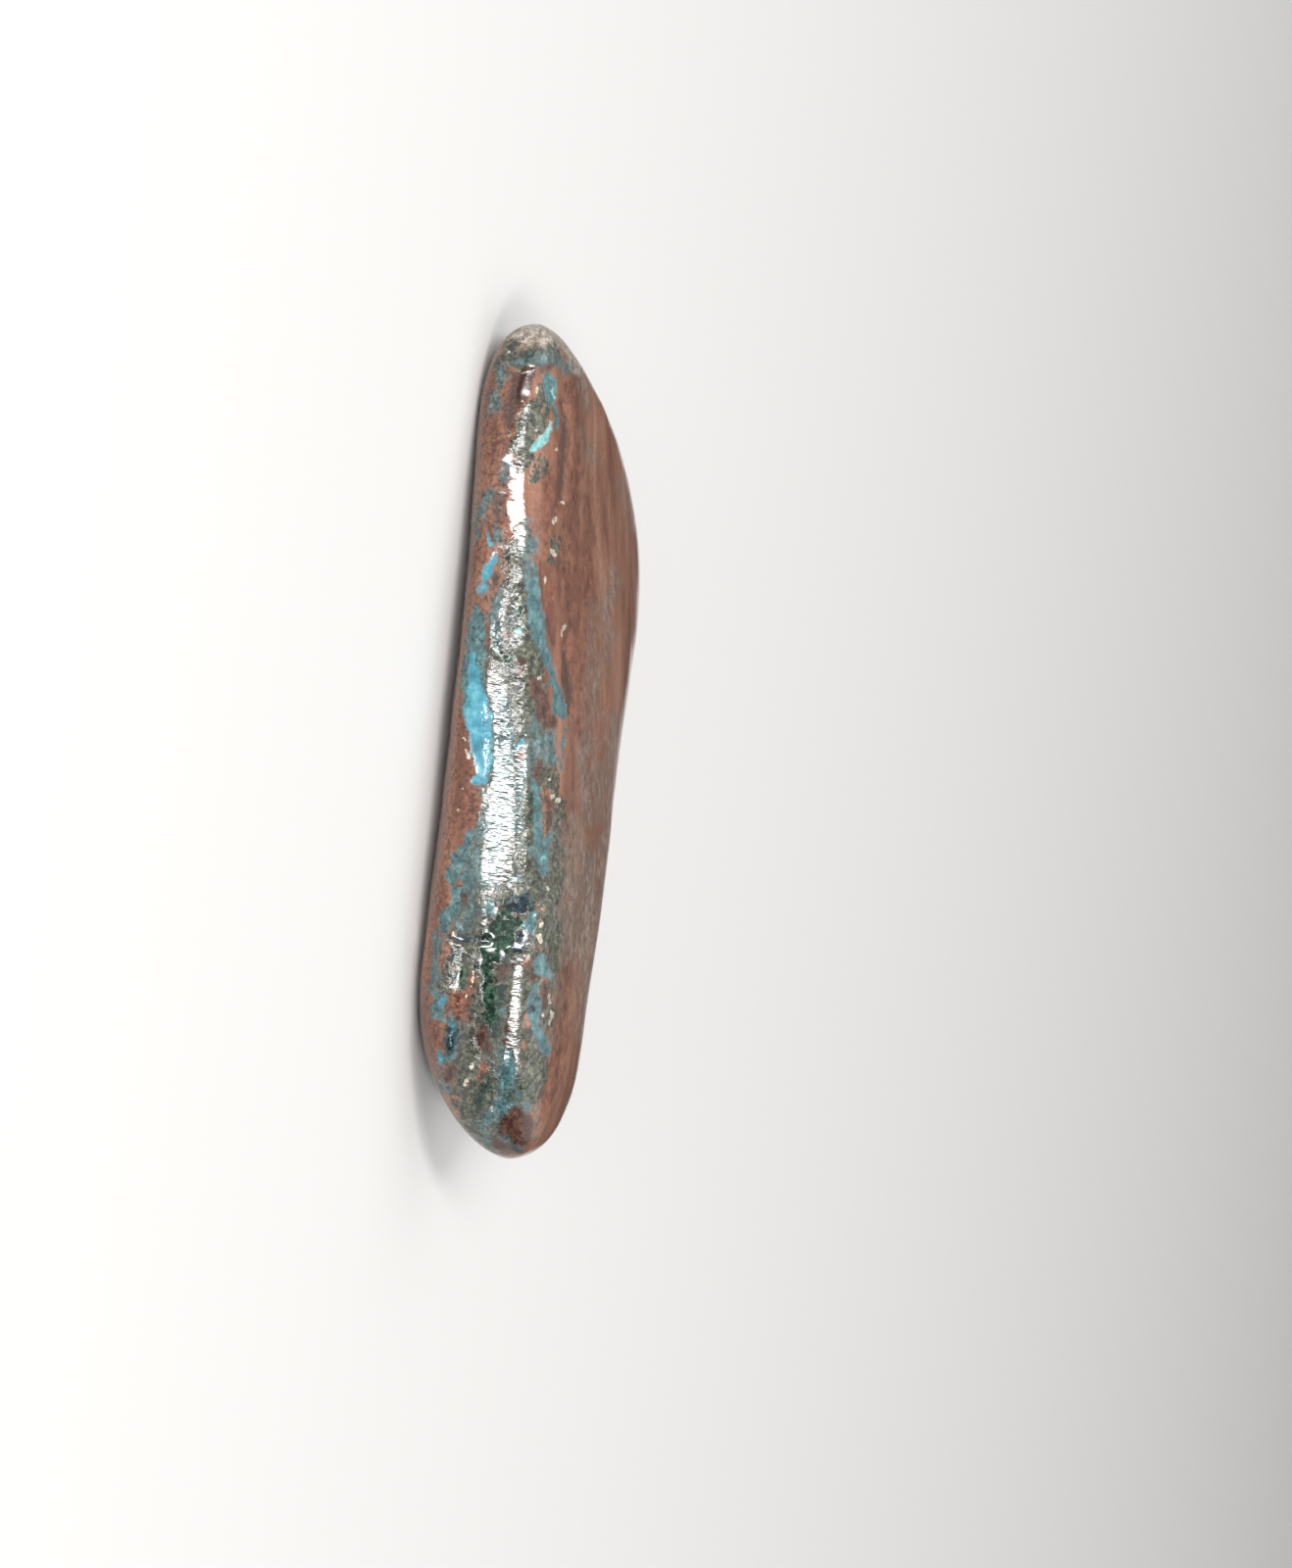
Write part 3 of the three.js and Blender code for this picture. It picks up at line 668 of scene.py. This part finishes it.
# %% [markdown]
# ## From strokes to fields
# Each mineral becomes one number for each point of the skin: how far that point lies inside the mineral, in
# millimetres. A mask of only 0 and 1 would show the mesh's points as steps, while a distance can be cut
# anywhere between them, and the finish can make its edge ragged. The sides that the strokes don't reach get
# patches of the same minerals from smooth noise, drawn out along the stone as the real veins are.

# %% Measure each mineral
VEIN_STRETCH = (2.2, 1, 1)


def wild_patches(size, shift, level, octaves=4):
    """Patches for the sides out of sight: above zero where the noise is above the level."""
    patches = (lumps(size, octaves, stretch=VEIN_STRETCH, shift=shift) - level) * size
    return np.clip(patches - 2 * REACH * (1 - unseen), -REACH, REACH)


def field(strokes, wild):
    """The mineral's strokes, joined with its wild patches."""
    return np.maximum(drawn_inside(strokes), wild)


# Each wild patch has a size in mm, a shift that gives it noise of its own, and a level. Teal and turquoise
# share a shift, so that the turquoise lies within the teal.
fields = {
    "crust": field(CRUST, wild_patches(4.0, 35.0, 0.15)),
    "teal": field(TEAL, wild_patches(3.0, 45.0, 0.3)),
    "turquoise": field(TURQUOISE, wild_patches(3.0, 45.0, 0.46)),
    "haze": field(HAZE, wild_patches(5.0, 55.0, 0.1)),
    "umber": field(UMBER, wild_patches(4.0, 65.0, 0.2)),
    "film": field(FILM, wild_patches(3.5, 50.0, 0.25)),
    "grains": field(GRAINS, wild_patches(2.6, 60.0, 0.3)),
    "ash_and_glare": field(ASH_AND_GLARE, -REACH),
    "mint_and_sheen": field(MINT_AND_SHEEN, -REACH),
    "malachite": field(MALACHITE, wild_patches(2.4, 70.0, 0.45)),
    "navy": field(NAVY, wild_patches(1.2, 80.0, 0.55)),
    "maroon_and_shade": field(MAROON_AND_SHADE, wild_patches(2.0, 90.0, 0.35)),
    "rust": field(RUST, wild_patches(1.8, 100.0, 0.4)),
    "cream": field(CREAM, wild_patches(0.5, 110.0, 0.8, octaves=2)),
}
for name, values in fields.items():
    print(f"{name} covers {100 * (values > 0).mean():.1f} % of the skin")

# %% [markdown]
# ## Wear
# The tumbler left two soft crests with a groove between them at the thick end, a notch where the malachite
# crumbled, a small ledge, folds beside the ridge, a crack, and over a thousand tiny pits. Bump in the
# material would fake them, but the mesh would lack them and their outlines would stay smooth. So each is
# worked into the skin by moving its points along their normals, as a sculptor's brush would.

# %% Sculpt the drawn features
SCULPTED = [
    # strokes, height in mm, width of the slope round them in mm
    # the thick end: a groove, the crest above it and that crest's worn flat, two swellings, and the ledge
    ([[(12.6, 0.9, 0.2), (15.0, 1.0, 0.3), (17.5, 1.0, 0.2)]], -0.14, 0.9),
    ([[(12.6, 3.2, 0.1), (14.5, 3.1, 0.1), (16.5, 3.2, 0.1), (18.2, 3.4, 0.1)]], 0.32, 1.9),
    ([[(13.2, 2.5, 0.02), (15.0, 2.55, 0.02), (17.0, 2.7, 0.02)]], -0.08, 0.95),
    ([[(11.8, -1.75, 0.1), (13.0, -1.75, 0.15), (14.0, -1.8, 0.1)]], 0.34, 0.9),
    ([[(14.6, -1.5, 0.2), (17.2, -1.5, 0.2)]], 0.12, 0.8),
    ([[(10.7, -2.4, 0.26), (11.5, -2.6, 0.34), (12.6, -2.5, 0.34), (13.8, -2.3, 0.3)]], -0.14, 0.25),
    # the notch, the swelling under it, its crack, two cuts above it, and a short crack in the crest
    ([[(9.0, 2.2, 0.1), (10.2, 1.9, 0.3), (10.9, 1.8, 0.2)]], -0.26, 1.5),
    ([[(8.8, 0.0, 0.02), (9.8, 0.1, 0.1), (10.8, 0.1, 0.02)]], 0.1, 1.1),
    ([[(11.3, 0.5, 0.04), (11.4, -0.4, 0.06), (11.35, -1.2, 0.08)]], -0.2, 0.3),
    ([[(8.2, 3.9, 0.03), (8.6, 3.6, 0.08), (9.1, 3.15, 0.06)]], -0.26, 0.26),
    ([[(8.2, 5.0, 0.03), (8.65, 4.5, 0.03)]], -0.12, 0.26),
    ([[(-4.75, -1.3, 0.03), (-4.2, -0.3, 0.03)]], -0.08, 0.22),
    # two folds beside the ridge of the thin end, and the swelling under the second
    ([[(-19.4, 1.5, 0.03), (-17.5, 1.8, 0.1), (-15.5, 1.9, 0.1), (-13.6, 1.95, 0.03)]], -0.12, 0.36),
    ([[(-6.4, 3.1, 0.03), (-4.4, 3.3, 0.1), (-2.8, 3.62, 0.1), (-1.9, 3.75, 0.04)]], -0.1, 0.36),
    ([[(-9.4, 2.3, 0.1), (-7.6, 2.5, 0.2), (-6.0, 2.75, 0.15)]], 0.07, 0.5),
    # the worn flats of the crest
    ([[(-15.2, -0.4, 0.01), (-13.0, -0.35, 0.01), (-10.9, -0.3, 0.01)]], -0.2, 1.6),
    ([[(-4.2, 0.0, 0.01), (-1.6, 0.1, 0.01)]], -0.14, 1.5),
    ([[(0.4, 0.3, 0.01), (3.0, 0.5, 0.01), (5.5, 0.7, 0.01), (8.0, 0.95, 0.01)]], -0.14, 1.5),
    ([[(-8.3, 0.4, 0.1), (-7.2, 0.2, 0.2), (-6.0, 0.0, 0.2)]], -0.08, 0.7),
]


def dome(strokes, width):
    """1 within the strokes, and from there down to 0 in a smooth slope of that width."""
    gap = np.clip(-drawn_inside(strokes) / width, 0, 1)
    return (1 - gap * gap) ** 2


moved = np.zeros(count)
for strokes, height, width in SCULPTED:
    moved += height * dome(strokes, width)
print("drawn features move the skin by", moved.min().round(2), "to", moved.max().round(2), "mm")

# %% Sink the patches, roughen the grains and let the whole skin swell and ripple
PATCH_DEPTH = 0.05
PATCH_EDGE = 0.12
MAROON_SHARE = 0.3  # of the patches' depth
GRAIN_HEIGHT = 0.035
GRAIN_SIZE = 0.45
GRAINY = (-0.1, 0.2)  # from where to where the grains' field brings them up
RIPPLE_HEIGHT = 0.007
RIPPLE_SIZE = 0.5
RIPPLE_WORN = 0.6  # the share of the ripples that is worn off the upper face
SWELL_HEIGHT = 0.04
SWELL_SIZE = 3.0
FLUTE_HEIGHT = 0.007  # the flutes run lengthwise on the upper face
FLUTE_SIZE = 0.8
FLUTE_STRETCH = (7, 1, 1)
grainy = soft_step(*GRAINY, fields["grains"])
moved -= PATCH_DEPTH * soft_step(-PATCH_EDGE, PATCH_EDGE, np.maximum(fields["turquoise"], fields["teal"]))
moved -= MAROON_SHARE * PATCH_DEPTH * soft_step(-PATCH_EDGE, PATCH_EDGE, fields["maroon_and_shade"])
moved += GRAIN_HEIGHT * grainy * lumps(GRAIN_SIZE, 2, shift=120.0)
moved += RIPPLE_HEIGHT * lumps(RIPPLE_SIZE, 2, shift=130.0) * (1 - RIPPLE_WORN * on_top)
moved += SWELL_HEIGHT * lumps(SWELL_SIZE, 1, shift=140.0)
moved += FLUTE_HEIGHT * lumps(FLUTE_SIZE, 2, stretch=FLUTE_STRETCH, shift=150.0) * on_top
print("patches and grains move the skin by", moved.min().round(2), "to", moved.max().round(2), "mm")

# %% Peck the pits
PITS = 1500
SEED = 7
PIT_RADII = (0.2, 0.45)  # mm
PIT_DEPTHS = (0.004, 0.022)
PIT_WORN = 0.5  # the share of a pit's depth that is worn off the upper face
chance = np.random.default_rng(SEED)
finder = KDTree(count)
for i, point in enumerate(skin):
    finder.insert(point, i)
finder.balance()
for centre in chance.choice(count, PITS, replace=False):
    radius = chance.uniform(*PIT_RADII)
    depth = chance.uniform(*PIT_DEPTHS) * (1 + grainy[centre]) * (1 - PIT_WORN * on_top[centre])
    for _, i, gap in finder.find_range(skin[centre], radius):
        moved[i] -= depth * (1 - (gap / radius) ** 2) ** 2
print("pits:", PITS)

# %% Move the skin, keep the resting face flat, and store the fields for the material
worn = skin + outward * moved[:, None]
worn[:, 2] = np.maximum(worn[:, 2], 0)
fine.vertices.foreach_set("co", (worn * MM).ravel())
fields["smooth"] = on_top  # no mineral, but the face that is worn the smoothest
for name, values in fields.items():
    fine.attributes.new(name, "FLOAT", "POINT").data.foreach_set("value", values)
fine.update()
print("the skin moved by", moved.min().round(2), "to", moved.max().round(2), "mm")

# %% [markdown]
# ## The finish
# Every mineral has its own three shades, which a mottle mixes by noise, and its own gloss. A ragged edge
# turns its field into a mask: noise nibbles at the drawn outline, so that it looks crystallised and not
# painted. Both effects are node groups, because every mineral uses them. They read the Object coordinates.
# A material for each mineral would be simpler, but it could change only from face to face. Here the minerals
# lie over each other as layers of one material, each over the ones before it.

# %% Helpers for a node group and its numbers
def new_group(name, inputs, outputs):
    """The group's tree, the sockets it is given and the sockets it has to fill."""
    tree = bpy.data.node_groups.new(name, "ShaderNodeTree")
    for label, kind, value in inputs:
        socket = tree.interface.new_socket(label, in_out="INPUT", socket_type="NodeSocket" + kind)
        socket.default_value = value
    for label, kind in outputs:
        tree.interface.new_socket(label, in_out="OUTPUT", socket_type="NodeSocket" + kind)
    return tree, tree.nodes.new("NodeGroupInput").outputs, tree.nodes.new("NodeGroupOutput").inputs


def calculated(tree, operation, *numbers):
    """A number that changes over the stone, worked out from the others."""
    return add_node(tree, "Math", dict(enumerate(numbers)), operation=operation).outputs[0]


def soft_noise(tree, place, scale, detail, roughness=0.5):
    """Noise of 0 to 1."""
    inputs = {"Vector": place, "Scale": scale, "Detail": detail, "Roughness": roughness}
    return add_node(tree, "TexNoise", inputs).outputs["Fac"]


# %% The ragged edge
EDGE_DETAIL = 4.0
EDGE_ROUGHNESS = 0.6
NOISE_MIDDLE = 0.5


def ragged_edge_group():
    """Turns a field into a mask. Grain is nibbles per mm, and the other two measures are in mm."""
    tree, given, made = new_group(
        "ragged edge",
        [
            ("Field", "Float", 0.0),
            ("Place", "Vector", (0, 0, 0)),
            ("Grain", "Float", 5.0),
            ("Raggedness", "Float", 0.2),
            ("Softness", "Float", 0.02),
        ],
        [("Mask", "Float")],
    )
    nibble = soft_noise(tree, given["Place"], given["Grain"], EDGE_DETAIL, EDGE_ROUGHNESS)
    centred = calculated(tree, "SUBTRACT", nibble, NOISE_MIDDLE)
    nudged = calculated(tree, "MULTIPLY_ADD", centred, given["Raggedness"], given["Field"])
    outer = calculated(tree, "MULTIPLY", given["Softness"], -1.0)
    edge = ranged(tree, nudged, outer, given["Softness"], curve="SMOOTHSTEP")
    tree.links.new(edge, made["Mask"])
    return tree


ragged_edge = ragged_edge_group()
print("group:", ragged_edge.name)

# %% The mottle
# A Mix node has sockets for numbers, vectors and colours under the same names, so its colour sockets are
# found by their numbers.
FACTOR, UNDER, OVER, MIXED = 0, 6, 7, 2
CLOUD_DETAIL = 6.0
DARK_UP_TO = 0.36
MIDDLE_AT = 0.5
LIGHT_FROM = 0.66


def mix_colours(tree, mask, under, over, blend="MIX"):
    """The colour under, covered by the colour over where the mask is 1."""
    inputs = {FACTOR: mask, UNDER: under, OVER: over}
    return add_node(tree, "Mix", inputs, data_type="RGBA", blend_type=blend).outputs[MIXED]


def mottle_group():
    """Mixes three shades by noise, in spots of about Size mm."""
    tree, given, made = new_group(
        "mottle",
        [
            ("Place", "Vector", (0, 0, 0)),
            ("Size", "Float", 1.0),
            ("Fineness", "Float", 0.6),
            ("Dark", "Color", (0.1, 0.1, 0.1, 1)),
            ("Middle", "Color", (0.3, 0.3, 0.3, 1)),
            ("Light", "Color", (0.6, 0.6, 0.6, 1)),
        ],
        [("Colour", "Color")],
    )
    often = calculated(tree, "DIVIDE", 1.0, given["Size"])
    cloud = soft_noise(tree, given["Place"], often, CLOUD_DETAIL, given["Fineness"])
    from_dark = ranged(tree, cloud, DARK_UP_TO, MIDDLE_AT)
    to_light = ranged(tree, cloud, MIDDLE_AT, LIGHT_FROM)
    low = mix_colours(tree, from_dark, given["Dark"], given["Middle"])
    high = mix_colours(tree, to_light, low, given["Light"])
    tree.links.new(high, made["Colour"])
    return tree


mottle = mottle_group()
print("group:", mottle.name)

# %% Start the stone's material
POLISH_IOR = 1.7
LENGTHWISE = (5, 1, 0.8)
cuprite = bpy.data.materials.new("cuprite")
cuprite.use_nodes = True
nodes = cuprite.node_tree
shader = nodes.nodes["Principled BSDF"]
shader.inputs["IOR"].default_value = POLISH_IOR
coordinates = nodes.nodes.new("ShaderNodeTexCoord").outputs["Object"]


def scaled(stretch):
    """The place on the stone in millimetres, with the pattern drawn out by a stretch along each axis."""
    scale = [1 / (MM * s) for s in stretch]
    return add_node(nodes, "Mapping", {"Vector": coordinates, "Scale": scale}).outputs["Vector"]


even = scaled((1, 1, 1))
lengthwise = scaled(LENGTHWISE)
print("the polish has an index of refraction of", POLISH_IOR)


def mineral_mask(name, grain, raggedness, softness):
    """1 where the mineral lies and 0 where it doesn't, with a ragged edge between them."""
    amount = add_node(nodes, "Attribute", attribute_name=name).outputs["Fac"]
    values = {"Grain": grain, "Raggedness": raggedness, "Softness": softness}
    edge = add_node(nodes, "Group", {"Field": amount, "Place": even} | values, node_tree=ragged_edge)
    return edge.outputs["Mask"]


def mineral_colour(place, size, fineness, dark, middle, light):
    """The mineral's three shades, mottled."""
    values = {"Place": place, "Size": size, "Fineness": fineness}
    shades = {"Dark": tint(*dark), "Middle": tint(*middle), "Light": tint(*light)}
    return add_node(nodes, "Group", values | shades, node_tree=mottle).outputs["Colour"]


# %% Name the layers, from the lowest up
FINENESS = 0.7
LAYERS = [
    # name, grain, raggedness, softness, roughness, mottle size, dark, middle, light
    ("crust", 1.2, 3.0, 0.2, 0.16, 0.4, (38, 38, 30), (71, 72, 63), (115, 115, 103)),
    ("haze", 0.8, 2.0, 0.6, 0.24, 0.6, (90, 75, 62), (119, 101, 89), (147, 130, 119)),
    ("umber", 0.8, 2.0, 0.6, 0.14, 0.8, (78, 40, 26), (112, 67, 47), (140, 93, 70)),
    ("film", 1.3, 2.0, 0.3, 0.15, 0.5, (42, 62, 64), (72, 95, 96), (108, 132, 132)),
    # the lightest shade of this row also stands for the painted glare at the thin tip
    ("ash_and_glare", 1.6, 1.4, 0.3, 0.36, 0.3, (102, 94, 83), (152, 142, 130), (201, 194, 182)),
    ("grains", 1.8, 1.6, 0.1, 0.2, 0.34, (24, 26, 20), (61, 65, 53), (115, 115, 98)),
    ("rust", 2.0, 1.0, 0.16, 0.22, 0.4, (77, 36, 17), (107, 62, 41), (135, 92, 71)),
    # this row is maroon cuprite, and also the painted shade of the dark lines in the folds and along the stripe
    ("maroon_and_shade", 2.0, 0.9, 0.16, 0.2, 0.5, (43, 15, 10), (66, 38, 28), (94, 66, 55)),
    ("teal", 2.2, 0.8, 0.08, 0.17, 0.6, (44, 75, 78), (66, 102, 106), (99, 133, 133)),
    ("turquoise", 2.0, 0.9, 0.12, 0.17, 0.9, (36, 94, 113), (51, 124, 141), (95, 156, 169)),
    # a paler turquoise, its lightness partly painted sheen
    ("mint_and_sheen", 3.0, 0.5, 0.05, 0.16, 0.3, (75, 126, 128), (109, 162, 160), (150, 192, 188)),
    ("malachite", 2.2, 1.2, 0.1, 0.13, 0.3, (4, 12, 8), (18, 37, 28), (60, 94, 73)),
    ("navy", 2.2, 0.8, 0.1, 0.13, 0.3, (2, 6, 9), (8, 24, 33), (44, 74, 82)),
    ("cream", 5.0, 0.3, 0.03, 0.45, 0.2, (122, 111, 92), (160, 150, 132), (196, 190, 179)),
]
print("layers:", [layer[0] for layer in LAYERS])

# %% Lay the minerals over the brown, with fine specks over all but the purest
BROWN_SHADES = ((98, 55, 38), (127, 84, 62), (150, 108, 88))
BROWN_ROUGHNESS = 0.13
BROWN_SIZE = 2.4
BROWN_FINENESS = 0.6
SPECK_SHADES = ((110, 106, 102), (226, 224, 222), (255, 255, 255))
SPECK_SIZE = 0.22
SPECKS_ON_SIDE = 1.0
SPECKS_ON_UPPER_FACE = 0.35
CLEAN_FROM = "turquoise"  # this layer and the ones after it have no specks


def speckled(colour):
    """The colour with fine dark specks, fainter on the upper face, where the skin is smoother."""
    specks = mineral_colour(even, SPECK_SIZE, FINENESS, *SPECK_SHADES)
    smooth = add_node(nodes, "Attribute", attribute_name="smooth").outputs["Fac"]
    shown = ranged(nodes, smooth, 0, 1, SPECKS_ON_SIDE, SPECKS_ON_UPPER_FACE)
    return mix_colours(nodes, shown, colour, specks, blend="MULTIPLY")


colour = mineral_colour(lengthwise, BROWN_SIZE, BROWN_FINENESS, *BROWN_SHADES)
masks = {}
roughness = BROWN_ROUGHNESS
for name, grain, raggedness, softness, own_roughness, size, dark, middle, light in LAYERS:
    if name == CLEAN_FROM:
        colour = speckled(colour)
    masks[name] = mineral_mask(name, grain, raggedness, softness)
    shades = mineral_colour(even, size, FINENESS, dark, middle, light)
    colour = mix_colours(nodes, masks[name], colour, shades)
    blend = add_node(nodes, "Mix", {"Factor": masks[name], "A": roughness, "B": own_roughness})
    roughness = blend.outputs["Result"]
nodes.links.new(colour, shader.inputs["Base Color"])
nodes.links.new(roughness, shader.inputs["Roughness"])
print("nodes under the colour and the roughness:", len(nodes.nodes))

# %% Wear the polish
# The polish is rippled like orange peel, but less outside the crust and in the glassy dark minerals. Heights
# are in mm, a stretch is the size of the ripples along each axis in mm, and a scale is bumps per mm.
PEEL_HEIGHT = 0.03
LOW_PEEL_HEIGHT = PEEL_HEIGHT / 6
PEEL_STRETCH = (0.19, 0.45, 0.45)
PEEL_DETAIL = 1.0
GLASSY_SHARE = 0.3  # of the peel's height
GRIT_HEIGHT = 0.045
GRIT_SCALE = 3.4
GRIT_DETAIL = 3.0
DUST_HEIGHT = 0.001
DUST_SCALE = 13.0
DUST_DETAIL = 2.0
INSET = 0.012
peel = soft_noise(nodes, scaled(PEEL_STRETCH), 1.0, PEEL_DETAIL)
dust = soft_noise(nodes, even, DUST_SCALE, DUST_DETAIL)
grit = soft_noise(nodes, even, GRIT_SCALE, GRIT_DETAIL)
gritty = calculated(nodes, "MULTIPLY", masks["grains"], GRIT_HEIGHT)
sunk = calculated(nodes, "MULTIPLY", masks["turquoise"], -INSET)
uneven = ranged(nodes, masks["crust"], 0, 1, LOW_PEEL_HEIGHT, PEEL_HEIGHT)
glassy = calculated(nodes, "MAXIMUM", masks["malachite"], masks["navy"])
calm = ranged(nodes, glassy, 0, 1, 1.0, GLASSY_SHARE)
peeled = calculated(nodes, "MULTIPLY", uneven, calm)
relief = calculated(nodes, "MULTIPLY", peel, peeled)
for roughening, height in ((dust, DUST_HEIGHT), (grit, gritty)):
    relief = calculated(nodes, "ADD", relief, calculated(nodes, "MULTIPLY", roughening, height))
relief = calculated(nodes, "ADD", relief, sunk)
bump = add_node(nodes, "Bump", {"Height": relief, "Distance": MM, "Strength": 1.0})
nodes.links.new(bump.outputs["Normal"], shader.inputs["Normal"])
fine.materials.append(cuprite)
print("nodes in the material:", len(nodes.nodes))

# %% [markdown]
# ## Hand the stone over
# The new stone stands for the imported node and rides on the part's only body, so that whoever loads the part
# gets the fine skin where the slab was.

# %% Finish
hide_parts("stone")
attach(stone, "root")
